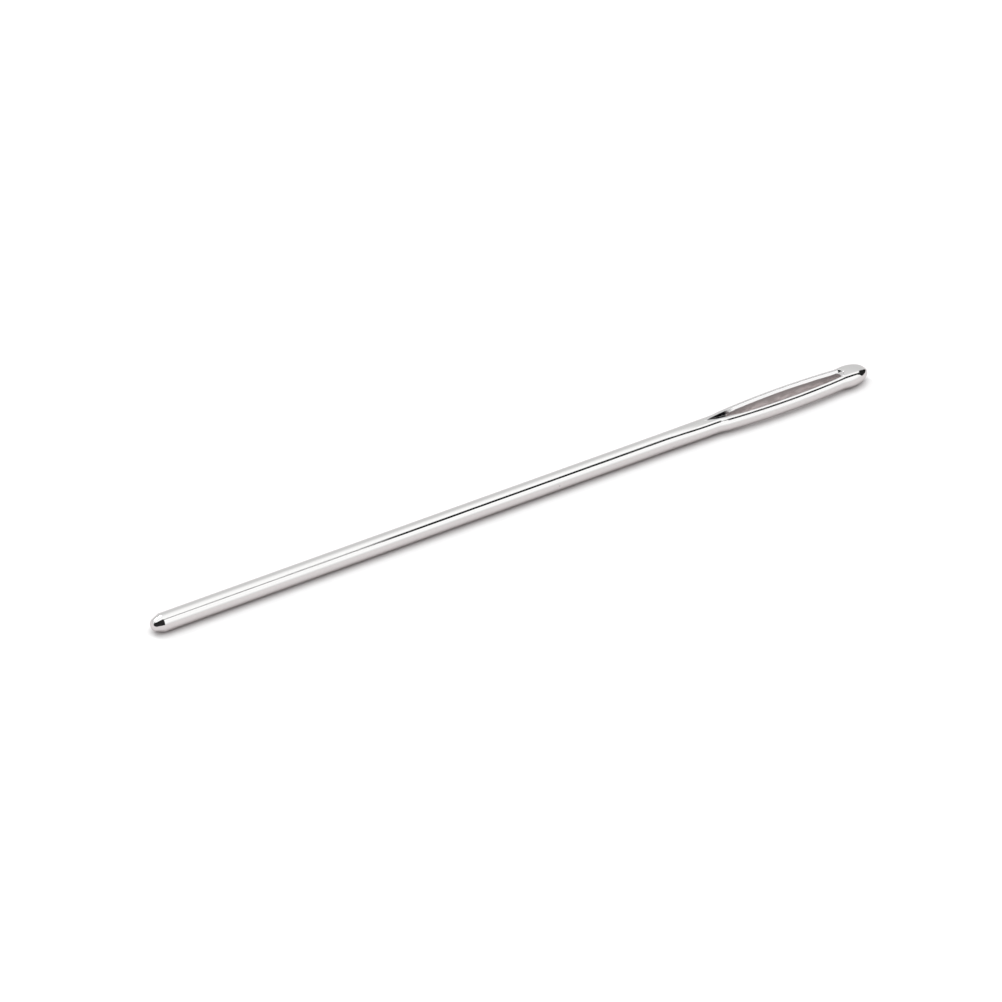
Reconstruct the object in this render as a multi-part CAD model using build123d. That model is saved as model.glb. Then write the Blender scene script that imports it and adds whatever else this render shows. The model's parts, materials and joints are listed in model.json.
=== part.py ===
from build123d import *
import os
from math import atan2, cos, radians, sin, sqrt, tan

# A blunt yarn needle with a large eye, in millimetres.
# It is one piece of drawn steel wire. One end is ground to a short blunt cone.
# The other end is spread and pressed in a die, and pierced with a long eye.
# The round shank and the pressed eye are two solids, which meet face to face where the round wire ends.
# +X runs along the wire from the point to the head, and the eye is threaded along Z.
# The origin is under the middle of the needle, on the table that its shank lies on.

# Driving dimensions of the wire and its ground point
needle_length = 70.0
wire_diameter = 1.65
point_cone_length = 0.95
point_end_diameter = 0.96
point_dome_height = 0.12
point_edge_radius = 0.1

# Driving dimensions of the eye and the head.
# The head is fuller than the legs beside it: its section swells by this share over the swell's length.
slot_length = 11.6
slot_width = 1.12
slot_end_width = 0.62
leg_width = 0.735
leg_side_radius = 0.74
leg_rim_inset = 0.49
face_crown = 0.01
head_length = 2.65
head_rounding_length = 2.0
head_fullness = 1.07
swell_length = 1.0

# Driving dimensions of the neck, where the round wire is squeezed and then spreads into the eye
squeezing_length = 4.5
neck_length = 0.85
spreading_length = 1.2
neck_width = 1.78
neck_rim_width = 0.76
round_rim_tilt = radians(32)

# The funnel in each face that leads the yarn into the slot: a bevel along both legs
bevel_width = 0.2
bevel_depth = 0.23
bevel_undercut = 0.03

# The groove at each end of the funnel, from its apex down to the slot
groove_floor_width = 0.8
groove_wall_tilt = radians(12)
shank_groove_length = 2.0
shank_groove_depth = 0.4
head_groove_length = 0.25
head_groove_depth = 0.25
groove_fade_length = 1.3

# How far a cutting shape runs past what it cuts
overrun = 0.4

# Places along the neck, the slot and the rounded head where the section is set.
# The lead-in lies in the round wire and is cut off again, so that the neck starts straight.
lead_in_shares = (-0.5, -0.25, 0.0)
squeezing_shares = (0.25, 0.5, 0.75, 1.0)
spreading_shares = (0.0, 0.3, 0.65)
slot_shares = (0.0, 0.14, 0.3, 0.5, 0.7, 0.84, 0.92, 0.965, 1.0)
head_shares = (0.0, 0.35, 0.6, 0.8, 0.93, 0.985)

# Places along a groove from its apex to the slot, and how much of its width it has there
groove_shares = (-0.3, 0.0, 0.3, 0.65, 1.0)
groove_width_shares = (0.08, 0.2, 0.58, 0.83, 1.0)
bevel_shares = (0.0, 0.25, 0.5, 0.75, 1.0)

wire_radius = wire_diameter / 2
half_length = needle_length / 2

# Stations along X, from the point to the head
cone_end = -half_length + point_cone_length
slot_end = half_length - head_length
slot_start = slot_end - slot_length
slot_middle = (slot_start + slot_end) / 2
spread_start = slot_start - spreading_length
shank_end = spread_start - neck_length - squeezing_length
head_start = half_length - head_rounding_length


def ease(share):
    """A smooth step from 0 to 1 that starts and ends level."""
    return share * share * (3 - 2 * share)


def slot_half_width(x):
    """Half the slot's width at a place along it: a shallow arch between its two ends."""
    offset_share = (x - slot_middle) / (slot_length / 2)
    arch_height = (slot_width - slot_end_width) / 2
    return slot_end_width / 2 + arch_height * (1 - offset_share**2)


def eye_shape(x):
    """The eye's section at x: its half width, side radius, the rims' distance out, and the crown."""
    half_width = slot_half_width(x) + leg_width
    return half_width, leg_side_radius, half_width - leg_rim_inset, face_crown


def fullness(x):
    """How much larger the section is at x than the legs alone would make it, up to the full head."""
    share = (x - head_start + swell_length) / swell_length
    return 1 + (head_fullness - 1) * ease(min(max(share, 0), 1))


def blend(first_shape, last_shape, share):
    """A section's shape on the way from one to another."""
    return [first + (last - first) * share for first, last in zip(first_shape, last_shape)]


def rim_height(half_width, side_radius, rim_y):
    """How high the rim of a section stands above the needle's middle plane."""
    return sqrt(side_radius**2 - (rim_y - half_width + side_radius) ** 2)


def section(x, half_width, side_radius, rim_y, crown):
    """A face across the wire: round sides that meet two nearly flat faces at their rims."""
    rim_z = rim_height(half_width, side_radius, rim_y)
    tilt_share = 1 / sqrt(2)
    side_y = half_width - side_radius
    middle_y = side_y + side_radius * tilt_share
    middle_z = side_radius * tilt_share
    outline = [
        ThreePointArc((-rim_y, rim_z), (0, rim_z + crown), (rim_y, rim_z)),
        ThreePointArc((rim_y, rim_z), (middle_y, middle_z), (half_width, 0)),
        ThreePointArc((half_width, 0), (middle_y, -middle_z), (rim_y, -rim_z)),
        ThreePointArc((rim_y, -rim_z), (0, -rim_z - crown), (-rim_y, -rim_z)),
        ThreePointArc((-rim_y, -rim_z), (-middle_y, -middle_z), (-half_width, 0)),
        ThreePointArc((-half_width, 0), (-middle_y, middle_z), (-rim_y, rim_z)),
    ]
    plane = Plane(origin=(x, 0, 0), x_dir=(0, 1, 0), z_dir=(1, 0, 0))
    return plane * make_face(outline)


def make_shank():
    """The round wire with its blunt ground point, turned about the wire's axis."""
    end_radius = point_end_diameter / 2
    rim_x = -half_length + point_dome_height
    dome_radius = (end_radius**2 + point_dome_height**2) / (2 * point_dome_height)
    dome_middle_y = end_radius / 2
    dome_middle_x = -half_length + dome_radius - sqrt(dome_radius**2 - dome_middle_y**2)
    profile = make_face(
        [
            ThreePointArc((-half_length, 0), (dome_middle_x, dome_middle_y), (rim_x, end_radius)),
            Line((rim_x, end_radius), (cone_end, wire_radius)),
            Line((cone_end, wire_radius), (shank_end, wire_radius)),
            Line((shank_end, wire_radius), (shank_end, 0)),
            Line((shank_end, 0), (-half_length, 0)),
        ]
    )
    rim = profile.vertices().sort_by_distance((rim_x, end_radius, 0))[0]
    return revolve(fillet(rim, point_edge_radius), Axis.X, 360)


def make_eye_blank():
    """The neck, the eye and the rounded head, before the funnels are pressed and the slot is pierced."""
    round_rim_y = wire_radius * sin(round_rim_tilt)
    round_crown = wire_radius * (1 - cos(round_rim_tilt))
    round_shape = (wire_radius, wire_radius, round_rim_y, round_crown)
    start_shape = eye_shape(slot_start)
    neck_shape = (neck_width / 2, leg_side_radius, neck_rim_width / 2, face_crown)
    places = [(shank_end + squeezing_length * share, *round_shape) for share in lead_in_shares]
    for share in squeezing_shares:
        shape = blend(round_shape, neck_shape, ease(share))
        places.append((shank_end + squeezing_length * share, *shape))
    for share in spreading_shares:
        shape = blend(neck_shape, start_shape, ease(share))
        places.append((spread_start + spreading_length * share, *shape))
    for share in slot_shares:
        x = slot_start + slot_length * share
        places.append((x, *[size * fullness(x) for size in eye_shape(x)]))
    for share in head_shares:
        size_share = head_fullness * sqrt(1 - share**2)
        shape = [size * size_share for size in eye_shape(slot_end)]
        places.append((head_start + head_rounding_length * share / head_shares[-1], *shape))
    blank = loft([section(*place) for place in places])
    return split(blank, Plane(origin=(shank_end, 0, 0), z_dir=(1, 0, 0)), keep=Keep.TOP)


def make_slot():
    """The cutter of the long eye: two shallow arches with round ends, through the whole thickness."""
    end_half = slot_end_width / 2
    left = slot_start + end_half
    right = slot_end - end_half
    outline = make_face(
        [
            ThreePointArc((left, end_half), (slot_middle, slot_width / 2), (right, end_half)),
            ThreePointArc((right, end_half), (slot_end, 0), (right, -end_half)),
            ThreePointArc((right, -end_half), (slot_middle, -slot_width / 2), (left, -end_half)),
            ThreePointArc((left, -end_half), (slot_start, 0), (left, end_half)),
        ]
    )
    return extrude(outline, wire_radius + overrun, both=True)


def funnel_section(x, floor_half, floor_z, tilt):
    """A face across the funnel's cutter: a flat floor and two walls that lean out from upright by tilt."""
    top_z = wire_radius + overrun
    top_half = floor_half + (top_z - floor_z) * tan(tilt)
    plane = Plane(origin=(x, 0, 0), x_dir=(0, 1, 0), z_dir=(1, 0, 0))
    corners = [(-floor_half, floor_z), (floor_half, floor_z), (top_half, top_z), (-top_half, top_z)]
    return plane * make_face(Polyline(corners, close=True))


def groove_sections(apex_x, mouth_x, face_z, depth):
    """The sections of a groove, from above its apex down to the slot."""
    sections = []
    for share, width_share in zip(groove_shares, groove_width_shares):
        x = apex_x + (mouth_x - apex_x) * share
        floor_half = groove_floor_width / 2 * width_share
        sections.append(funnel_section(x, floor_half, face_z - depth * share, groove_wall_tilt))
    return sections


def make_funnel():
    """The cutter of the funnel in the upper face: two grooves, and the bevel of the legs between them."""
    half_width, side_radius, rim_y, crown = eye_shape(slot_start)
    rim_z = rim_height(half_width, side_radius, rim_y)
    face_z = rim_z + crown
    bevel_tilt = atan2(bevel_width, bevel_depth)
    floor_z = rim_z - bevel_depth - bevel_undercut / tan(bevel_tilt)
    sections = groove_sections(slot_start - shank_groove_length, slot_start, face_z, shank_groove_depth)
    bevel_start = slot_start + groove_fade_length
    bevel_length = slot_length - 2 * groove_fade_length
    for share in bevel_shares:
        x = bevel_start + bevel_length * share
        sections.append(funnel_section(x, slot_half_width(x) - bevel_undercut, floor_z, bevel_tilt))
    head_groove = groove_sections(slot_end + head_groove_length, slot_end, face_z, head_groove_depth)
    return loft(sections + head_groove[::-1], ruled=True)


def make_eye():
    """The pressed end of the wire, pierced by the slot, with a funnel in both faces."""
    eye = make_eye_blank() - make_slot()
    funnel = make_funnel()
    eye -= funnel
    return eye - mirror(funnel, Plane.XY)


os.makedirs("parts", exist_ok=True)
for name, piece in (("shank", make_shank()), ("eye", make_eye())):
    print(name, "volume", round(piece.volume, 3), "solids", len(piece.solids()))
    export_step(Pos(0, 0, wire_radius) * piece, f"parts/{name}.step")
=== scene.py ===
import json
from math import atan2, cos, pi, radians, sin, sqrt, tan
from types import SimpleNamespace

import bmesh
import bpy
from bpy.props import FloatProperty, FloatVectorProperty, PointerProperty
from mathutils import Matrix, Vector, noise


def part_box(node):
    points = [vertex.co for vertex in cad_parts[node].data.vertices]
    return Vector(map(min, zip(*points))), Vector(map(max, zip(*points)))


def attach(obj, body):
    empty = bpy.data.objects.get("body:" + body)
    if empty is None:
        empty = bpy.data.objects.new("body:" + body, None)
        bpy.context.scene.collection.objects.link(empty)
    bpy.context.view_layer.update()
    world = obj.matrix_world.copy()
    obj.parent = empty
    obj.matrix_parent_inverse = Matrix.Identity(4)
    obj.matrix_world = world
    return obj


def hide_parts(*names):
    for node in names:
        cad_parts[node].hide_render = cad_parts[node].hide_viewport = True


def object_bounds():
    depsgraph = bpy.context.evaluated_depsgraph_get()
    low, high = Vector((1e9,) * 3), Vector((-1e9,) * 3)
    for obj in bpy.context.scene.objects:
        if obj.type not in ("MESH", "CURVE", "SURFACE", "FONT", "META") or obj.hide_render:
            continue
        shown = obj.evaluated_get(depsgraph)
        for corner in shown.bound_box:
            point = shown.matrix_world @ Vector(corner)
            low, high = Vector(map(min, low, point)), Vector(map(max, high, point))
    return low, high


bl_info = {
    "name": "Yarn Needle",
    "version": (1, 0, 0),
    "blender": (4, 5, 0),
    "location": "View3D > Sidebar > Yarn Needle",
    "description": "A large-eyed blunt needle of polished steel wire, with its table and studio lights",
    "category": "Add Mesh",
}

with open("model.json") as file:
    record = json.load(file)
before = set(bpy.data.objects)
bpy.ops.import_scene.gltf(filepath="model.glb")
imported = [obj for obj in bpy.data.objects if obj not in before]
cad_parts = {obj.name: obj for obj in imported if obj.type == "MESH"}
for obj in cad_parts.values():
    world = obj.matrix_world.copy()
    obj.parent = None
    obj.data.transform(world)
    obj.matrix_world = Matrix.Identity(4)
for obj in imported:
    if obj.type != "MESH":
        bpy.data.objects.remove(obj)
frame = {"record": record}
cad_low, cad_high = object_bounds()
shank_low, shank_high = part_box("shank")
shank_mount = next(mount for mount in frame["record"]["mounts"] if mount["name"] == "shank")

MM_PER_METRE = 1000.0
MICROMETRE = 0.000001

# Rows of faces around a quarter of the wire, from its side to the middle of its upper face
SIDE_ROWS = 36
LAND_ROWS = 6
WALL_ROWS = 9
FLOOR_ROWS = 9
TOP_ROWS = LAND_ROWS + WALL_ROWS + FLOOR_ROWS
QUARTER_ROWS = SIDE_ROWS + TOP_ROWS

# Stations of the pressed end, along the wire
NECK_STEPS = 28
GROOVE_STEPS = 22
SLOT_END_STEPS = 9
SLOT_STEPS = 128
HEAD_SHARES = (0.2, 0.4, 0.6, 0.8)
HEAD_STEPS = 26
PIERCED_CUTS = 5

# How strongly the rows of a leg's flat top crowd at the bevel, and those of a groove's floor at its wall
LAND_CROWDING = 1.5
FLOOR_CROWDING = 1.4

# Stations of the point and the shank, as shares of each stretch
DOME_STEPS = 8
CORNER_STEPS = 6
CONE_SHARES = (0.04, 0.1, 0.3, 0.6, 0.85, 0.96, 1.0)
SHANK_SHARES = (0.002, 0.01, 0.05, 0.15, 0.3, 0.45, 0.6, 0.75, 0.9, 1.0)

# Points nearer than this, in millimetres, are one
MERGE = 0.0002

# Edges that are bent more than this stay sharp
SHARP_ANGLE = radians(40)

# Places of the second and third of the needle's materials; the first is the polished steel
PRESSED_INDEX = 1
PIERCED_INDEX = 2

# How often the rims are smoothed, and how many rows on each side of them
RIM_SMOOTHINGS = 3
RIM_ROWS = 2

# The smallest share of a groove's length that its width is reckoned from, so that its apex stays open
APEX_SHARE = 0.02

# How far along the groove its painted shade is full, and how often the pressed tops wander in a millimetre
GROOVE_SHADE_START = 0.2
WANDER_RATE = 1.7

# How tall each effect stands on the metal, in metres
DRAWN_LINES = 1.2 * MICROMETRE
POLISHED_MARKS = 2.2 * MICROMETRE
POLISHED_PITS = 8 * MICROMETRE
PRESSED_MARKS = 9 * MICROMETRE
PRESSED_PITS = 6 * MICROMETRE
PIERCED_TEARS = 12 * MICROMETRE
PIERCED_GRAIN = 10 * MICROMETRE

# How each effect is stretched along the wire, across it and upwards: below one draws it out
LINE_STRETCH = (0.012, 1, 1)
RIDGE_STRETCH = (1, 0.22, 0.22)
HAZE_STRETCH = (0.5, 1, 1)
TEAR_STRETCH = (1, 0.3, 0.02)

# The die's marks come in patches: how fine these are, between which values of their noise
# the marks grow, and how strong the weakest marks are
PATCH_FINENESS = 1100.0
PATCH_LOW = 0.38
PATCH_HIGH = 0.62
WEAKEST_MARKS = 0.2

# Between which values of its noise the haze of handling grows
HAZE_LOW = 0.35
HAZE_HIGH = 0.7

# Where the die's marks start and are full along the needle, in metres
MARKS_START = 0.0195
MARKS_FULL = 0.0215

# Between which heights above the table the slot's wall turns darker with painted shade, in metres
WALL_SHADE_LOW = 0.0006
WALL_SHADE_HIGH = 0.0012

# The torn wall scatters most of its light, as broken metal does
PIERCED_METALLIC = 0.4

TABLE_ROUGHNESS = 0.9
CONTACT_SAMPLES = 8

# How high the tent reaches its full brightness, from 0 at the horizon to 1 straight above
TENT_RISE = 0.4

# The way to the tent's far side, and where along it the near side ends and the far side starts
TENT_BACK = (0, 1, -0.7)
TENT_NEAR_END = -0.6
TENT_FAR_START = 0.45

# Dark things in a studio send back this little light
BLACK = 0.02

# The tent's dark seam, seen from the needle: its angle above the horizon and its distance
SEAM_ANGLE = radians(65.5)
SEAM_DISTANCE = 0.3
SEAM = Vector((0, -cos(SEAM_ANGLE) * SEAM_DISTANCE, sin(SEAM_ANGLE) * SEAM_DISTANCE))

# The dark room behind the camera, and its end beyond the needle's point
ROOM = Vector((-0.27, -0.21, 0.185))
ROOM_END = Vector((-0.36, -0.1, 0.12))

# The black cards that stand for the seam, the tent's dark end and the room.
# Each has its name, its middle, the way it faces, its width and its height.
CARDS = (
    ("seam_card", SEAM + Vector((0.43, 0, 0)), -SEAM, 0.64, 0.115),
    ("thin_seam_card", SEAM + Vector((0.03, 0, 0)), -SEAM, 0.16, 0.034),
    ("end_card", (0.3, 0, 0.11), (-1, 0, 0), 0.34, 0.24),
    ("room_card", ROOM, -ROOM, 0.5, 0.48),
    ("room_end_card", ROOM_END, -ROOM_END, 0.25, 0.34),
)


def number_property(name, description, default):
    """A property that holds one plain number."""
    return FloatProperty(name=name, description=description, default=default)


def length_property(name, description, default):
    """A property that holds one length in metres."""
    return FloatProperty(name=name, description=description, default=default, unit="LENGTH", precision=5)


def share_property(name, description, default):
    """A property that holds a share from 0 to 1."""
    return FloatProperty(
        name=name, description=description, default=default, subtype="FACTOR", min=0.0, max=1.0
    )


def angle_property(name, description, default):
    """A property that holds one angle in radians."""
    return FloatProperty(name=name, description=description, default=default, subtype="ANGLE")


def colour_property(name, description, default):
    """A property that holds one linear colour."""
    return FloatVectorProperty(
        name=name, description=description, default=default, subtype="COLOR", size=3, min=0.0, max=1.0
    )


class YarnNeedleShape(bpy.types.PropertyGroup):
    """Sizes of the wire, its ground point and its pressed eye."""

    wire_diameter: length_property(
        "Wire diameter", "Thickness of the drawn wire", 2 * shank_mount["dims"]["r_mm"] / MM_PER_METRE
    )
    point_x: length_property("Point", "Where the blunt point ends", shank_low.x)
    shank_end_x: length_property("Shank end", "Where the round wire ends and the neck starts", shank_high.x)
    head_x: length_property("Head", "Where the head ends", cad_high.x)
    cone_length: length_property("Cone length", "Length of the ground cone", 0.00095)
    point_diameter: length_property("Point diameter", "Width of the blunt end", 0.00096)
    dome_height: length_property("Dome height", "How far the blunt end bulges", 0.00012)
    point_softness: length_property("Point softness", "How far the blunt end's rim is rounded", 0.00018)
    squeezing_length: length_property("Squeezed length", "Length over which the wire is squeezed", 0.0045)
    spreading_length: length_property("Spread length", "Length over which the neck spreads", 0.0012)
    neck_width: length_property("Neck width", "Width of the squeezed neck", 0.00178)
    neck_rim_width: length_property("Neck rim width", "Width between the neck's soft rims", 0.00076)
    slot_length: length_property("Slot length", "Length of the pierced eye", 0.0116)
    slot_width: length_property("Slot width", "Width of the pierced eye at its middle", 0.00112)
    slot_end_width: length_property("Slot end width", "Width of the pierced eye at its round ends", 0.00062)
    leg_width: length_property("Leg width", "Width of each leg beside the eye", 0.000735)
    leg_side_radius: length_property("Leg side radius", "Radius of a leg's round outer side", 0.00074)
    rim_inset: length_property("Rim inset", "How far a leg's rim lies inside its outer side", 0.00049)
    face_crown: length_property("Face crown", "How far the pressed faces bulge", 0.00001)
    head_length: length_property("Head length", "From the slot's end to the head's end", 0.00265)
    rounding_length: length_property("Rounding length", "Length of the head's rounding", 0.002)
    swell_length: length_property("Swell length", "Length over which the legs swell into the head", 0.001)
    head_fullness: number_property("Head fullness", "Size of the head's section against the legs'", 1.07)
    bevel_width: length_property("Bevel width", "Width of the bevel along each leg", 0.0002)
    bevel_depth: length_property("Bevel depth", "Depth of the bevel along each leg", 0.00023)
    bevel_undercut: length_property("Bevel undercut", "How far the bevel reaches into the slot", 0.00003)
    groove_width: length_property("Groove width", "Width of the grooves' floors at the slot", 0.0006)
    shank_groove_length: length_property("Shank groove length", "Length of the groove in the neck", 0.002)
    shank_groove_depth: length_property("Shank groove depth", "Depth of the groove in the neck", 0.0004)
    head_groove_length: length_property("Head groove length", "Length of the groove in the head", 0.00025)
    head_groove_depth: length_property("Head groove depth", "Depth of the groove in the head", 0.00025)
    groove_fade_length: length_property("Groove fade", "How far a groove runs into the bevel", 0.0013)
    edge_softness: length_property("Edge softness", "How softly the die's edges are rounded", 0.00004)
    unevenness: length_property("Unevenness", "How far the legs' pressed tops wander", 0.000012)
    groove_wall_tilt: angle_property("Groove wall tilt", "How far the grooves' walls lean out", radians(12))


class YarnNeedleFinish(bpy.types.PropertyGroup):
    """Colours and roughness of the plated steel."""

    polished_colour: colour_property("Polished steel", "Plated wire", (0.78, 0.775, 0.77))
    pressed_colour: colour_property("Pressed steel", "Faces that the die pressed", (0.76, 0.755, 0.755))
    pierced_colour: colour_property("Pierced steel", "The slot's torn inner wall", (0.92, 0.86, 0.85))
    pierced_stain: colour_property("Pierced stain", "Darker patches on that wall", (0.6, 0.55, 0.54))
    # Painted shade: the colour that the slot's wall darkens to at its top, under the bevel
    wall_top_shade_colour: colour_property("Torn edge", "That wall just under the bevel", (0.42, 0.38, 0.38))
    # Dark colour of the plating's pits, and also the painted shade of the neck groove's steep wall
    pit_and_shade_colour: colour_property("Residue", "Polish left in grooves and pits", (0.03, 0.03, 0.035))
    polished_roughness: share_property("Polished roughness", "Roughness of the wire", 0.05)
    pressed_roughness: share_property("Pressed roughness", "Roughness of the pressed faces", 0.11)
    pierced_roughness: share_property("Pierced roughness", "Roughness of the pierced wall", 0.5)
    haze: share_property("Haze", "Roughness that handling adds in patches", 0.08)


class YarnNeedleStage(bpy.types.PropertyGroup):
    """The camera, the table and the studio around it."""

    camera_azimuth: angle_property("Camera azimuth", "Where the camera looks from", radians(-30.4))
    camera_elevation: angle_property("Camera elevation", "Angle above the horizon", radians(37.707))
    camera_distance: length_property("Camera distance", "From the camera to the needle", 0.56)
    camera_lens: number_property("Lens", "Focal length in millimetres", 238.4)
    centre_right: length_property("Centre right", "The picture's middle right of the needle's", -0.001396)
    centre_up: length_property("Centre up", "The picture's middle above the needle's", -0.000513)
    table_size: length_property("Table size", "Width of the table", 3.0)
    table_colour: colour_property("Table", "Table as the camera sees it", (0.97, 0.97, 0.97))
    table_reflected: colour_property("Reflected table", "Table in the metal", (0.71, 0.675, 0.678))
    contact_reach: length_property("Contact shade reach", "How far the needle's shade reaches", 0.00065)
    contact_depth: share_property("Contact shade depth", "How fast the shade deepens", 0.5)
    contact_colour: colour_property("Contact shade", "Deepest shade", (0.12, 0.075, 0.08))
    tent_bright: number_property("Tent", "Brightness of the tent above and in front", 1.25)
    tent_low: number_property("Tent foot", "Brightness of the tent near the table", 0.88)
    tent_far: number_property("Tent far side", "Brightness of the tent behind the needle", 0.75)
    lamp_power: number_property("Lamp power", "Power of the small lamp behind, in watts", 0.4)
    lamp_size: length_property("Lamp size", "Width of the small lamp behind", 0.1)
    lamp_place: FloatVectorProperty(
        name="Lamp place", description="Where the small lamp stands", unit="LENGTH",
        default=(-0.12, 0.29, 0.39),
    )


def in_millimetres(settings):
    """The sizes of a property group in millimetres, and its angles as they are."""
    sizes = SimpleNamespace()
    for key, rna in settings.bl_rna.properties.items():
        if rna.type == "FLOAT" and not rna.is_array:
            factor = MM_PER_METRE if rna.unit == "LENGTH" else 1.0
            setattr(sizes, key, getattr(settings, key) * factor)
    return sizes


def ease(share):
    """A smooth step from 0 to 1 that starts and ends level."""
    share = min(max(share, 0.0), 1.0)
    return share * share * (3 - 2 * share)


def mix(first, last, share):
    """A value on the way from one to another."""
    return first + (last - first) * share


def steps(first, last, count):
    """Evenly spread places from the first up to the last, without the last."""
    return [mix(first, last, step / count) for step in range(count)]


def soft_min(first, last, softness):
    """The lower of two heights, rounded where they cross."""
    overlap = max(softness - abs(first - last), 0.0) / softness
    return min(first, last) - overlap * overlap * softness / 4


def soft_max(first, last, softness):
    """The higher of two heights, rounded where they cross."""
    return -soft_min(-first, -last, softness)


class NeedleForm:
    """The needle's surface as formulas, in millimetres, about the wire's axis."""

    def __init__(self, sizes):
        self.s = sizes
        self.radius = sizes.wire_diameter / 2
        self.slot_end = sizes.head_x - sizes.head_length
        self.slot_start = self.slot_end - sizes.slot_length
        self.slot_middle = (self.slot_start + self.slot_end) / 2
        self.end_half = sizes.slot_end_width / 2
        self.spread_start = self.slot_start - sizes.spreading_length
        self.head_start = sizes.head_x - sizes.rounding_length
        self.groove_start = self.slot_start - sizes.shank_groove_length
        self.groove_end = self.slot_end + sizes.head_groove_length
        self.bevel_tilt = atan2(sizes.bevel_width, sizes.bevel_depth)
        rim_top = self.eye_outline(self.slot_start)
        self.face_z = self.rim_height(*rim_top[:3]) + sizes.face_crown

    def slot_half_width(self, x):
        """Half the slot's width, as a shallow arch between its ends."""
        offset_share = (x - self.slot_middle) / (self.s.slot_length / 2)
        arch = (self.s.slot_width - self.s.slot_end_width) / 2
        return self.end_half + arch * max(1 - offset_share**2, 0.0)

    def slot_edge(self, x):
        """How far the pierced edge lies from the middle: nothing beyond the slot, and round at its ends."""
        reach = min(x - self.slot_start, self.slot_end - x)
        if reach <= 0:
            return 0.0
        if reach < self.end_half:
            return sqrt(self.end_half**2 - (self.end_half - reach) ** 2)
        offset_share = (x - self.slot_middle) / (self.s.slot_length / 2 - self.end_half)
        return self.end_half + (self.s.slot_width - self.s.slot_end_width) / 2 * (1 - offset_share**2)

    def rim_height(self, half_width, side_radius, rim_y):
        """How high a section's rim stands above the middle plane."""
        return sqrt(side_radius**2 - (rim_y - half_width + side_radius) ** 2)

    def fullness(self, x):
        """How much larger the section is at x than the legs alone would make it."""
        share = (x - self.head_start + self.s.swell_length) / self.s.swell_length
        return mix(1, self.s.head_fullness, ease(share))

    def eye_outline(self, x):
        """The section beside the slot: half width, side radius, the rims' distance out, and the crown."""
        x = min(max(x, self.slot_start), self.slot_end)
        half_width = self.slot_half_width(x) + self.s.leg_width
        return [half_width, self.s.leg_side_radius, half_width - self.s.rim_inset, self.s.face_crown]

    def outline(self, x):
        """The section anywhere on the pressed end, as eye_outline gives it."""
        round_tilt = pi / 2 * TOP_ROWS / QUARTER_ROWS
        rim_y, crown = self.radius * sin(round_tilt), self.radius * (1 - cos(round_tilt))
        wire = [self.radius, self.radius, rim_y, crown]
        neck = [self.s.neck_width / 2, self.s.leg_side_radius, self.s.neck_rim_width / 2, self.s.face_crown]
        if x < self.spread_start:
            share = ease((x - self.s.shank_end_x) / self.s.squeezing_length)
            return [mix(a, b, share) for a, b in zip(wire, neck)]
        if x < self.slot_start:
            share = ease((x - self.spread_start) / (self.slot_start - self.spread_start))
            return [mix(a, b, share) for a, b in zip(neck, self.eye_outline(self.slot_start))]
        share = min(max((x - self.head_start) / self.s.rounding_length, 0.0), 1.0)
        size_share = self.fullness(x) * sqrt(1 - share**2)
        return [size * size_share for size in self.eye_outline(x)]

    def funnel(self, x):
        """The die's section: half its floor, the floor's height and its walls' tilt."""
        s = self.s
        half, tilt = s.groove_width / 2, s.groove_wall_tilt
        bevel_half = self.slot_half_width(x) - s.bevel_undercut
        bevel_z = self.face_z - s.face_crown - s.bevel_depth - s.bevel_undercut / tan(self.bevel_tilt)
        if x < self.slot_middle:
            along, depth = (x - self.groove_start) / s.shank_groove_length, s.shank_groove_depth
        else:
            along, depth = (self.groove_end - x) / s.head_groove_length, s.head_groove_depth
            half, tilt = self.end_half, self.bevel_tilt
        if along < 1:
            return half * sqrt(max(along, APEX_SHARE)), self.face_z - depth * along, tilt
        reach = min(x - self.slot_start, self.slot_end - x)
        fade = ease(reach / s.groove_fade_length)
        floor_z = mix(self.face_z - depth, bevel_z, fade)
        return mix(half, bevel_half, fade), floor_z, mix(tilt, self.bevel_tilt, fade)

    def top(self, x, y, outline):
        """The height of the upper face: the crowned face, cut down by the die."""
        half_width, side_radius, rim_y, crown = outline
        if rim_y <= 0:
            return 0.0
        bulge_radius = (rim_y**2 + crown**2) / (2 * crown)
        rim_z = self.rim_height(half_width, side_radius, rim_y)
        face = rim_z + crown - bulge_radius + sqrt(max(bulge_radius**2 - y**2, 0.0))
        floor_half, floor_z, tilt = self.funnel(x)
        wall = floor_z + (y - floor_half) / tan(tilt)
        return soft_min(face, soft_max(floor_z, wall, self.s.edge_softness), self.s.edge_softness)

    def top_row(self, x, row, outline):
        """How far out a row of the upper face lies, counted from the rim to the middle or the slot."""
        rim_y = outline[2]
        floor_half, floor_z, tilt = self.funnel(x)
        edge = self.slot_edge(x)
        gap = self.s.edge_softness / 2
        upper = floor_half + max(self.face_z - floor_z, 0.0) * tan(tilt)
        upper = min(upper, rim_y - gap / 2)
        lower = min(max(floor_half, edge + gap), upper - gap)
        if row <= LAND_ROWS:
            share = row / LAND_ROWS
            feature = mix(rim_y, upper, 1 - (1 - share) ** LAND_CROWDING)
        elif row <= LAND_ROWS + WALL_ROWS:
            feature = mix(upper, lower, (row - LAND_ROWS) / WALL_ROWS)
        else:
            share = (row - LAND_ROWS - WALL_ROWS) / FLOOR_ROWS
            feature = mix(lower, edge, share**FLOOR_CROWDING)
        row_angle = pi / 2 / QUARTER_ROWS
        plain = rim_y * sin(row_angle * (TOP_ROWS - row)) / sin(row_angle * TOP_ROWS)
        return mix(plain, feature, ease((x - self.s.shank_end_x) / self.s.squeezing_length))

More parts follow.
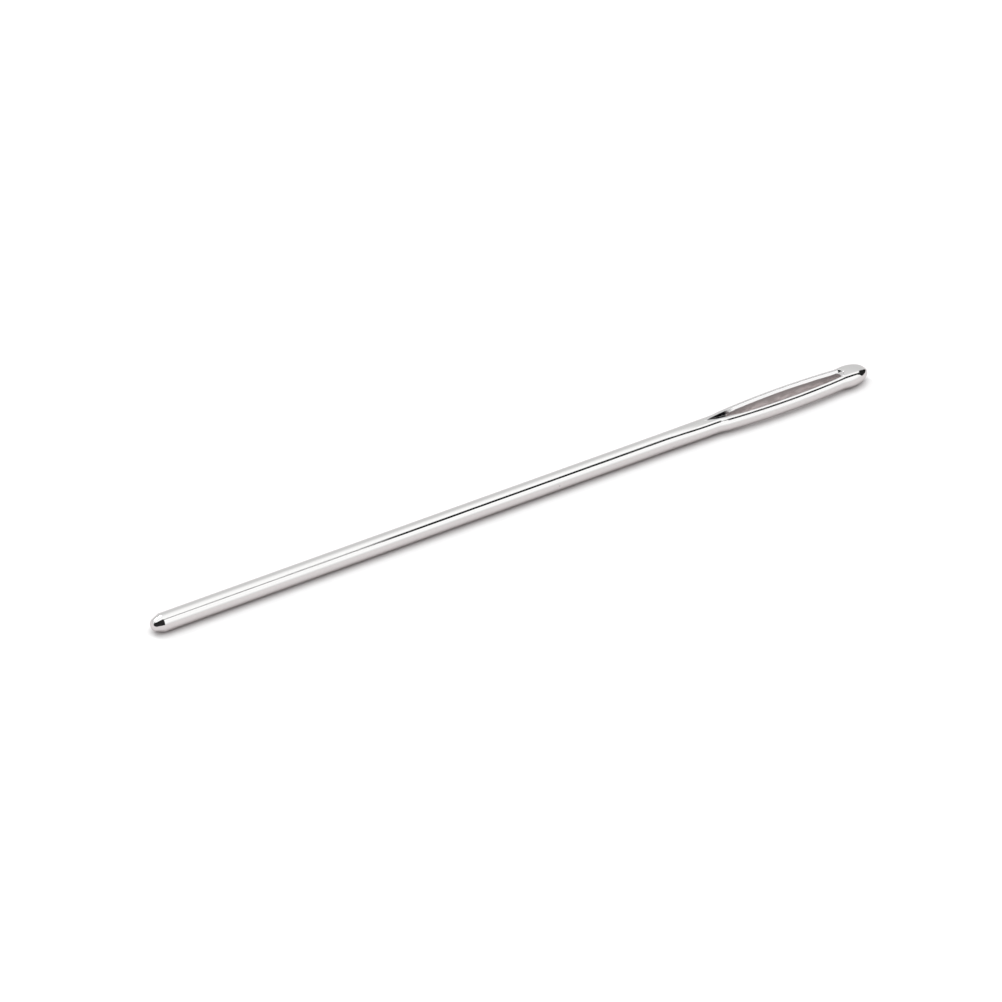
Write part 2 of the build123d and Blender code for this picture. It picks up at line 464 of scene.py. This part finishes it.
    def place(self, x, row):
        """A point of the upper quarter on the near side, by its station and its row."""
        outline = self.outline(x)
        if row <= SIDE_ROWS:
            half_width, side_radius, rim_y = outline[:3]
            side_y = half_width - side_radius
            rim_z = self.rim_height(half_width, side_radius, rim_y)
            angle = atan2(rim_z, rim_y - side_y) * row / SIDE_ROWS
            return side_y + side_radius * cos(angle), side_radius * sin(angle)
        y = self.top_row(x, row - SIDE_ROWS, outline)
        return y, self.top(x, y, outline)

    def groove_shade(self, x, row):
        """How much painted shade darkens a groove's steep wall, from none to all."""
        wall = row - SIDE_ROWS - LAND_ROWS
        if not 0 <= wall <= WALL_ROWS:
            return 0.0
        along = (x - self.groove_start) / self.s.shank_groove_length
        fade = 1 - ease((x - self.slot_start) / self.end_half)
        return ease(along / GROOVE_SHADE_START) * fade * ease((wall + 1) / 2)

    def wander(self, place):
        """Moves a point on the legs' pressed tops a little, as the die and the plating leave it."""
        s = self.s
        outer = self.slot_half_width(place.x) + s.leg_width - s.rim_inset
        reach = min(place.x - self.slot_start, self.slot_end - place.x)
        inside = ease(reach / s.slot_end_width)
        height = ease((abs(place.z) - s.slot_end_width / 2) / s.bevel_depth)
        if inside * height <= 0 or abs(place.y) > outer + s.edge_softness:
            return
        lift = noise.noise(place * WANDER_RATE) + noise.noise(place * WANDER_RATE * 3) / 2
        push = s.unevenness * inside * height * lift
        place.y += push
        place.z -= abs(push) * (1 if place.z > 0 else -1)

    def stations(self):
        """The places along the pressed end where a row of points stands, closer where the shape turns."""
        s = self.s
        turns = [self.end_half * (1 - cos(angle)) for angle in steps(0, pi / 2, SLOT_END_STEPS)]
        roundings = [s.rounding_length * sin(pi / 2 * step / HEAD_STEPS) for step in range(HEAD_STEPS + 1)]
        places = steps(s.shank_end_x, self.groove_start, NECK_STEPS)
        places += steps(self.groove_start, self.slot_start, GROOVE_STEPS)
        places += [self.slot_start + turn for turn in turns]
        places += steps(self.slot_start + self.end_half, self.slot_end - self.end_half, SLOT_STEPS)
        places += [self.slot_end - self.end_half]
        places += [self.slot_end - turn for turn in reversed(turns)]
        places += [mix(self.slot_end, self.head_start, share) for share in HEAD_SHARES]
        places += [self.head_start + rounding for rounding in roundings]
        return places


def add_pressed_end(mesh, form):
    """Bends a grid into a quarter of the neck, eye and head, pierces it and mirrors it to the whole."""
    # Painted shade: a share on each point, how far the groove's steep wall is darkened
    groove_shade = mesh.verts.layers.float.new("groove_shade")
    stations = form.stations()
    rims_end = form.s.head_x - form.s.edge_softness
    last = len(stations) - 1
    made = bmesh.ops.create_grid(mesh, x_segments=last, y_segments=QUARTER_ROWS, size=1.0)
    inner = set()
    rims = []
    rows = {}
    for vert in made["verts"]:
        x = stations[round((vert.co.x + 1) / 2 * last)]
        row = round((vert.co.y + 1) / 2 * QUARTER_ROWS)
        vert.co = (x, *form.place(x, row))
        vert[groove_shade] = form.groove_shade(x, row)
        rows[vert] = row
        if row == QUARTER_ROWS and form.slot_start <= x <= form.slot_end:
            inner.add(vert)
        if abs(row - SIDE_ROWS) <= RIM_ROWS and form.spread_start < x < rims_end:
            rims.append(vert)
    for face in mesh.faces:
        inside = all(form.groove_start <= vert.co.x <= form.groove_end for vert in face.verts)
        if inside and min(rows[vert] for vert in face.verts) >= SIDE_ROWS:
            face.material_index = PRESSED_INDEX
    for _ in range(RIM_SMOOTHINGS):
        bmesh.ops.smooth_vert(mesh, verts=rims, factor=0.5, use_axis_y=True, use_axis_z=True)
    edges = {edge for vert in inner for edge in vert.link_edges if edge.other_vert(vert) in inner}
    walls = bmesh.ops.extrude_edge_only(mesh, edges=list(edges))["geom"]
    upright = set()
    for part in walls:
        if isinstance(part, bmesh.types.BMVert):
            part.co.z = 0.0
        elif isinstance(part, bmesh.types.BMFace):
            part.material_index = PIERCED_INDEX
            upright.update(edge for edge in part.edges if edge not in edges)
    level = {edge for edge in upright if edge.verts[0].co.z == edge.verts[1].co.z}
    bmesh.ops.subdivide_edges(mesh, edges=list(upright - level), cuts=PIERCED_CUTS, use_grid_fill=True)
    for axis in ("Z", "Y"):
        everything = mesh.verts[:] + mesh.edges[:] + mesh.faces[:]
        bmesh.ops.mirror(mesh, geom=everything, axis=axis, merge_dist=MERGE)
    for vert in mesh.verts:
        form.wander(vert.co)


def add_shank(mesh, form):
    """Spins the profile of the blunt point and the round shank about the wire's axis."""
    s = form.s
    end_radius = s.point_diameter / 2
    edge_x = s.point_x + s.dome_height
    cone_x = s.point_x + s.cone_length
    dome_radius = (end_radius**2 + s.dome_height**2) / (2 * s.dome_height)
    dome_angle = atan2(end_radius, dome_radius - s.dome_height)
    profile = []
    for step in range(DOME_STEPS + 1):
        angle = (dome_angle - s.point_softness / dome_radius) * step / DOME_STEPS
        profile.append((s.point_x + dome_radius * (1 - cos(angle)), dome_radius * sin(angle)))
    dome_end = Vector(profile[-1])
    corner = Vector((edge_x, end_radius))
    cone_end = Vector((cone_x, form.radius))
    cone_start = corner + (cone_end - corner).normalized() * s.point_softness
    for step in range(1, CORNER_STEPS + 1):
        share = step / CORNER_STEPS
        profile.append(dome_end.lerp(corner, share).lerp(corner.lerp(cone_start, share), share))
    for share in CONE_SHARES:
        profile.append(cone_start.lerp(cone_end, share))
    for share in SHANK_SHARES:
        profile.append((mix(cone_x, s.shank_end_x, share), form.radius))
    points = [mesh.verts.new((x, radius, 0)) for x, radius in profile]
    line = [mesh.edges.new(pair) for pair in zip(points, points[1:])]
    bmesh.ops.spin(
        mesh, geom=points + line, cent=(0, 0, 0), axis=(1, 0, 0), dvec=(0, 0, 0),
        angle=2 * pi, steps=4 * QUARTER_ROWS, use_merge=True,
    )


def add_object(name, data):
    """A new object of the scene, made from its data."""
    thing = bpy.data.objects.new(name, data)
    bpy.context.scene.collection.objects.link(thing)
    return thing


def add_mesh(name, mesh):
    """A new object of the scene, made from a finished mesh."""
    data = bpy.data.meshes.new(name)
    mesh.to_mesh(data)
    mesh.free()
    return add_object(name, data)


def make_needle(shape, finish):
    """Models the whole needle as one closed mesh, in place of the two solids of the frame."""
    form = NeedleForm(in_millimetres(shape))
    mesh = bmesh.new()
    add_pressed_end(mesh, form)
    add_shank(mesh, form)
    bmesh.ops.remove_doubles(mesh, verts=mesh.verts, dist=MERGE)
    bmesh.ops.dissolve_degenerate(mesh, edges=mesh.edges, dist=MERGE)
    bmesh.ops.recalc_face_normals(mesh, faces=mesh.faces)
    bmesh.ops.translate(mesh, verts=mesh.verts, vec=(0, 0, form.radius))
    bmesh.ops.scale(mesh, verts=mesh.verts, vec=(1 / MM_PER_METRE,) * 3)
    needle = add_mesh("needle", mesh)
    groups = make_groups()
    for make in (polished_material, pressed_material, pierced_material):
        needle.data.materials.append(make(finish, groups))
    needle.data.shade_smooth()
    needle.data.set_sharp_from_angle(angle=SHARP_ANGLE)
    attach(needle, "root")
    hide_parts("shank", "eye")


def new_node(tree, kind, **settings):
    """A new node of a tree, with its settings."""
    node = tree.nodes.new("ShaderNode" + kind)
    for key, value in settings.items():
        setattr(node, key, value)
    return node


def feed_socket(tree, socket, source):
    """Sets one input: a socket is linked, a colour is made opaque, and anything else is its value."""
    if isinstance(source, bpy.types.NodeSocket):
        tree.links.new(source, socket)
    elif socket.type == "RGBA":
        socket.default_value = (*source, 1)
    else:
        socket.default_value = source


def feed(tree, node, **sources):
    """Sets a node's inputs by their names, with an underscore for each space."""
    for name, source in sources.items():
        feed_socket(tree, node.inputs[name.replace("_", " ")], source)


def feed_places(tree, node, sources):
    """Sets a node's inputs by their places in its list of inputs."""
    for place, source in sources.items():
        feed_socket(tree, node.inputs[place], source)


def stretched(tree, place, scale):
    """Coordinates that are stretched or squeezed along each axis."""
    node = new_node(tree, "VectorMath", operation="MULTIPLY")
    feed_places(tree, node, {0: place, 1: scale})
    return node.outputs[0]


def along_axis(tree, place, axis):
    """One of the three coordinates of a place."""
    node = new_node(tree, "SeparateXYZ")
    feed_places(tree, node, {0: place})
    return node.outputs[axis]


def noise_value(tree, place, scale, detail):
    """A soft random value at each place."""
    node = new_node(tree, "TexNoise", noise_dimensions="3D")
    feed(tree, node, Vector=place, Scale=scale, Detail=detail)
    return node.outputs["Fac"]


def ramp(tree, value, low, high, out_low=0.0, out_high=1.0):
    """A value mapped smoothly from one range to another."""
    node = new_node(tree, "MapRange", interpolation_type="SMOOTHSTEP")
    feed(tree, node, Value=value, From_Min=low, From_Max=high, To_Min=out_low, To_Max=out_high)
    return node.outputs["Result"]


def arithmetic(tree, operation, first, second):
    """Two values joined by one step of arithmetic."""
    node = new_node(tree, "Math", operation=operation)
    feed_places(tree, node, {0: first, 1: second})
    return node.outputs[0]


def blend_values(tree, share, first, second):
    """One value turning into another by a share."""
    node = new_node(tree, "Mix", data_type="FLOAT")
    feed_places(tree, node, {0: share, 2: first, 3: second})
    return node.outputs[0]


def blend_colours(tree, share, first, second):
    """One colour turning into another by a share."""
    node = new_node(tree, "Mix", data_type="RGBA")
    feed_places(tree, node, {0: share, 6: first, 7: second})
    return node.outputs[2]


def new_group(name, inputs, outputs):
    """A node group with the named float inputs beside its Vector, and the named float outputs."""
    tree = bpy.data.node_groups.new(name, "ShaderNodeTree")
    tree.interface.new_socket("Vector", in_out="INPUT", socket_type="NodeSocketVector")
    for key, value in inputs.items():
        socket = tree.interface.new_socket(key, in_out="INPUT", socket_type="NodeSocketFloat")
        socket.default_value = value
    for key in outputs:
        tree.interface.new_socket(key, in_out="OUTPUT", socket_type="NodeSocketFloat")
    return tree, tree.nodes.new("NodeGroupInput").outputs, tree.nodes.new("NodeGroupOutput").inputs


def drawn_lines():
    """Fine lines along the wire, from drawing and polishing it."""
    tree, given, result = new_group("Drawn Lines", {"Fineness": 9000.0}, ("Height",))
    drawn_out = stretched(tree, given["Vector"], LINE_STRETCH)
    lines = noise_value(tree, drawn_out, given["Fineness"], detail=3.0)
    tree.links.new(lines, result["Height"])
    return tree


def plating_pits():
    """Scattered pinholes in the plating: a mask that is one in each pit."""
    tree, given, result = new_group("Plating Pits", {"Scale": 700.0, "Size": 0.05, "Share": 0.3}, ("Mask",))
    cells = new_node(tree, "TexVoronoi", feature="F1")
    feed(tree, cells, Vector=given["Vector"], Scale=given["Scale"])
    colour = new_node(tree, "SeparateColor")
    tree.links.new(cells.outputs["Color"], colour.inputs[0])
    chosen = arithmetic(tree, "LESS_THAN", colour.outputs[0], given["Share"])
    near = ramp(tree, cells.outputs["Distance"], given["Size"], 0.0)
    tree.links.new(arithmetic(tree, "MULTIPLY", near, chosen), result["Mask"])
    return tree


def stamping_marks():
    """Fine ridges across the legs, which the die leaves, stronger in some places than in others."""
    tree, given, result = new_group("Stamping Marks", {"Fineness": 9000.0}, ("Height",))
    across = stretched(tree, given["Vector"], RIDGE_STRETCH)
    ridges = noise_value(tree, across, given["Fineness"], detail=2.0)
    patches = noise_value(tree, given["Vector"], PATCH_FINENESS, detail=1.0)
    strength = ramp(tree, patches, PATCH_LOW, PATCH_HIGH, WEAKEST_MARKS, 1.0)
    tree.links.new(arithmetic(tree, "MULTIPLY", ridges, strength), result["Height"])
    return tree


def handling_haze():
    """Cloudy patches where the needle was handled."""
    tree, given, result = new_group("Handling Haze", {"Scale": 260.0}, ("Value",))
    drawn_out = stretched(tree, given["Vector"], HAZE_STRETCH)
    clouds = noise_value(tree, drawn_out, given["Scale"], detail=4.0)
    tree.links.new(ramp(tree, clouds, HAZE_LOW, HAZE_HIGH), result["Value"])
    return tree


def make_groups():
    """The effects that the materials share, by name."""
    return {tree.name: tree for tree in (drawn_lines(), plating_pits(), stamping_marks(), handling_haze())}


def place_group(tree, groups, name, place, **values):
    """One of the shared effects, placed in a material with its own values."""
    node = new_node(tree, "Group", node_tree=groups[name])
    feed(tree, node, Vector=place, **values)
    return node.outputs[0]


def start_material(name):
    """A new node material, with its tree and its Principled shader."""
    material = bpy.data.materials.new(name)
    material.use_nodes = True
    return material, material.node_tree, material.node_tree.nodes["Principled BSDF"]


def object_place(tree):
    """The object's own coordinates, in metres."""
    return new_node(tree, "TexCoord").outputs["Object"]


def rough_surface(tree, shader, *layers):
    """Stacks bumps on a shader, each given as its height and how tall it is in metres."""
    normal = None
    for height, distance in layers:
        bump = new_node(tree, "Bump")
        feed(tree, bump, Height=height, Distance=distance, Strength=1.0)
        if normal:
            feed(tree, bump, Normal=normal)
        normal = bump.outputs["Normal"]
    feed(tree, shader, Normal=normal)


def hazy_roughness(tree, groups, place, roughness, haze):
    """A roughness that handling raises in cloudy patches."""
    value = place_group(tree, groups, "Handling Haze", place)
    return ramp(tree, value, 0.0, 1.0, roughness, roughness + haze)


def polished_material(finish, groups):
    """Bright plating over drawn wire, with a few pinholes."""
    material, tree, shader = start_material("polished_steel")
    place = object_place(tree)
    pits = place_group(tree, groups, "Plating Pits", place, Scale=620.0, Size=0.045, Share=0.35)
    lines = place_group(tree, groups, "Drawn Lines", place)
    marks = place_group(tree, groups, "Stamping Marks", place)
    beside_slot = ramp(tree, along_axis(tree, place, "X"), MARKS_START, MARKS_FULL)
    feed(
        tree, shader, Metallic=1.0,
        Base_Color=blend_colours(tree, pits, finish.polished_colour, finish.pit_and_shade_colour),
        Roughness=hazy_roughness(tree, groups, place, finish.polished_roughness, finish.haze),
    )
    rough_surface(
        tree, shader,
        (lines, DRAWN_LINES),
        (arithmetic(tree, "MULTIPLY", marks, beside_slot), POLISHED_MARKS),
        (arithmetic(tree, "SUBTRACT", 1.0, pits), POLISHED_PITS),
    )
    return material


def pressed_material(finish, groups):
    """Plating over the faces that the die pressed, with its marks, and with painted shade darkening the
    grooves' steep walls.
    """
    material, tree, shader = start_material("pressed_steel")
    place = object_place(tree)
    groove_shade = new_node(tree, "Attribute", attribute_name="groove_shade")
    pits = place_group(tree, groups, "Plating Pits", place, Scale=1900.0, Size=0.12, Share=0.16)
    marks = place_group(tree, groups, "Stamping Marks", place)
    # The pits' own dark colour, and painted shade darkening the groove's steep wall
    pit_and_wall_shade = arithmetic(tree, "MAXIMUM", groove_shade.outputs["Fac"], pits)
    feed(
        tree, shader, Metallic=1.0,
        Base_Color=blend_colours(tree, pit_and_wall_shade, finish.pressed_colour, finish.pit_and_shade_colour),
        Roughness=hazy_roughness(tree, groups, place, finish.pressed_roughness, finish.haze),
    )
    rough_surface(
        tree, shader, (marks, PRESSED_MARKS), (arithmetic(tree, "SUBTRACT", 1.0, pits), PRESSED_PITS)
    )
    return material


def pierced_material(finish, groups):
    """The slot's inner wall, torn by the punch, dull and mottled, and darkened towards its top by painted
    shade.
    """
    material, tree, shader = start_material("pierced_steel")
    place = object_place(tree)
    upright = stretched(tree, place, TEAR_STRETCH)
    tears = place_group(tree, groups, "Drawn Lines", upright, Fineness=7000.0)
    stain = place_group(tree, groups, "Handling Haze", place, Scale=2600.0)
    grain = place_group(tree, groups, "Stamping Marks", place, Fineness=14000.0)
    # Painted shade: the wall's colour darkens towards its top
    top_shade_share = ramp(tree, along_axis(tree, place, "Z"), WALL_SHADE_LOW, WALL_SHADE_HIGH)
    mottled = blend_colours(tree, stain, finish.pierced_colour, finish.pierced_stain)
    feed(
        tree, shader, Metallic=PIERCED_METALLIC, Roughness=finish.pierced_roughness,
        Base_Color=blend_colours(tree, top_shade_share, mottled, finish.wall_top_shade_colour),
    )
    rough_surface(tree, shader, (tears, PIERCED_TEARS), (grain, PIERCED_GRAIN))
    return material


def aim(thing, way):
    """Turns a camera or a lamp so that it looks one way, with its upper side up."""
    thing.rotation_mode = "QUATERNION"
    thing.rotation_quaternion = way.to_track_quat("-Z", "Y")


def make_camera(settings):
    """A long lens at the photograph's viewing angle, aimed so that the needle lies where it does there."""
    azimuth, elevation = settings.camera_azimuth, settings.camera_elevation
    back = Vector((sin(azimuth) * cos(elevation), -cos(azimuth) * cos(elevation), sin(elevation)))
    data = bpy.data.cameras.new("camera")
    data.lens = settings.camera_lens
    data.clip_start = settings.camera_distance / 10
    data.clip_end = settings.table_size * 2
    camera = add_object("camera", data)
    right = Vector((cos(azimuth), sin(azimuth), 0))
    up = back.cross(right)
    middle = (cad_low + cad_high) / 2 + right * settings.centre_right + up * settings.centre_up
    camera.location = middle + back * settings.camera_distance
    aim(camera, -back)
    bpy.context.scene.camera = camera


def flat_sheet(name, width, height, facing, middle):
    """A flat rectangle of the stage, facing one way."""
    mesh = bmesh.new()
    bmesh.ops.create_grid(mesh, x_segments=1, y_segments=1, size=0.5)
    bmesh.ops.scale(mesh, verts=mesh.verts, vec=(width, height, 1))
    turn = Vector(facing).to_track_quat("Z", "Y").to_matrix()
    bmesh.ops.rotate(mesh, verts=mesh.verts, cent=(0, 0, 0), matrix=turn)
    bmesh.ops.translate(mesh, verts=mesh.verts, vec=middle)
    sheet = add_mesh(name, mesh)
    return sheet


def seen_by_camera(tree):
    """A value that is one in what the camera sees itself, and zero in reflections and in lighting."""
    return new_node(tree, "LightPath").outputs["Is Camera Ray"]


def make_table(settings):
    """The white table that the needle lies on, darker close under the needle."""
    table = flat_sheet("table", settings.table_size, settings.table_size, (0, 0, 1), (0, 0, 0))
    material, tree, shader = start_material("white_table")
    open_table = blend_colours(
        tree, seen_by_camera(tree), settings.table_reflected, settings.table_colour
    )
    corner = new_node(tree, "AmbientOcclusion", samples=CONTACT_SAMPLES)
    feed(tree, corner, Distance=settings.contact_reach)
    openness = arithmetic(tree, "POWER", corner.outputs["AO"], settings.contact_depth)
    colour = blend_colours(tree, openness, settings.contact_colour, open_table)
    feed(tree, shader, Base_Color=colour, Roughness=TABLE_ROUGHNESS, Specular_IOR_Level=0.0)
    table.data.materials.append(material)


def make_card(name, middle, facing, width, height):
    """A black card that takes light out of the tent and shows only in reflections."""
    card = flat_sheet(name, width, height, facing, middle)
    material, tree, shader = start_material(name)
    feed(
        tree, shader, Base_Color=(0, 0, 0), Specular_IOR_Level=0.0,
        Emission_Color=(1, 1, 1), Emission_Strength=BLACK,
    )
    card.data.materials.append(material)
    card.visible_camera = False
    card.visible_diffuse = False
    card.visible_shadow = False


def make_tent(settings):
    """The white tent all around: bright above and in front, dimmer near the table and behind."""
    world = bpy.data.worlds.new("tent")
    world.use_nodes = True
    tree = world.node_tree
    way = new_node(tree, "TexCoord").outputs["Generated"]
    height = along_axis(tree, way, "Z")
    near = ramp(tree, height, 0.0, TENT_RISE, settings.tent_low, settings.tent_bright)
    lean = new_node(tree, "VectorMath", operation="DOT_PRODUCT")
    feed_places(tree, lean, {0: way, 1: TENT_BACK})
    far = ramp(tree, lean.outputs["Value"], TENT_NEAR_END, TENT_FAR_START)
    brightness = blend_values(tree, far, near, settings.tent_far)
    strength = blend_values(tree, seen_by_camera(tree), brightness, 1.0)
    feed(tree, tree.nodes["Background"], Color=(1, 1, 1), Strength=strength)
    bpy.context.scene.world = world


def make_lamp(settings):
    """A small lamp behind, whose light falls through the eye onto the table."""
    data = bpy.data.lights.new("back_lamp", "AREA")
    data.shape = "SQUARE"
    data.size = settings.lamp_size
    data.energy = settings.lamp_power
    lamp = add_object("back_lamp", data)
    lamp.location = settings.lamp_place
    aim(lamp, -lamp.location)


class NEEDLE_OT_make_stage(bpy.types.Operator):
    """Sets up the camera, the white table and the soft studio light"""

    bl_idname = "yarn_needle.make_stage"
    bl_label = "Make stage"

    def execute(self, context):
        settings = context.scene.yarn_needle_stage
        make_camera(settings)
        make_table(settings)
        make_tent(settings)
        make_lamp(settings)
        for card in CARDS:
            make_card(*card)
        return {"FINISHED"}


class NEEDLE_OT_make_needle(bpy.types.Operator):
    """Models the needle from its sizes and gives it its finish"""

    bl_idname = "yarn_needle.make_needle"
    bl_label = "Make needle"

    def execute(self, context):
        make_needle(context.scene.yarn_needle_shape, context.scene.yarn_needle_finish)
        return {"FINISHED"}


class NEEDLE_PT_panel(bpy.types.Panel):
    """Lists the needle's sizes, finish and stage in the sidebar"""

    bl_idname = "NEEDLE_PT_panel"
    bl_label = "Yarn Needle"
    bl_space_type = "VIEW_3D"
    bl_region_type = "UI"
    bl_category = "Yarn Needle"

    def draw(self, context):
        for title, settings, operator in (
            ("Stage", context.scene.yarn_needle_stage, NEEDLE_OT_make_stage),
            ("Shape", context.scene.yarn_needle_shape, NEEDLE_OT_make_needle),
            ("Finish", context.scene.yarn_needle_finish, None),
        ):
            box = self.layout.box()
            box.label(text=title)
            for key in settings.bl_rna.properties.keys():
                if key not in ("rna_type", "name"):
                    box.prop(settings, key)
            if operator:
                box.operator(operator.bl_idname)


CLASSES = (
    YarnNeedleShape,
    YarnNeedleFinish,
    YarnNeedleStage,
    NEEDLE_OT_make_stage,
    NEEDLE_OT_make_needle,
    NEEDLE_PT_panel,
)


def register():
    for cls in CLASSES:
        bpy.utils.register_class(cls)
    bpy.types.Scene.yarn_needle_shape = PointerProperty(type=YarnNeedleShape)
    bpy.types.Scene.yarn_needle_finish = PointerProperty(type=YarnNeedleFinish)
    bpy.types.Scene.yarn_needle_stage = PointerProperty(type=YarnNeedleStage)


def unregister():
    for key in ("yarn_needle_stage", "yarn_needle_finish", "yarn_needle_shape"):
        delattr(bpy.types.Scene, key)
    for cls in reversed(CLASSES):
        bpy.utils.unregister_class(cls)


def main():
    """Registers the add-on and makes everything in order."""
    register()
    bpy.context.scene.view_settings.view_transform = "Standard"
    bpy.ops.yarn_needle.make_stage()
    bpy.ops.yarn_needle.make_needle()


if __name__ == "__main__":
    main()
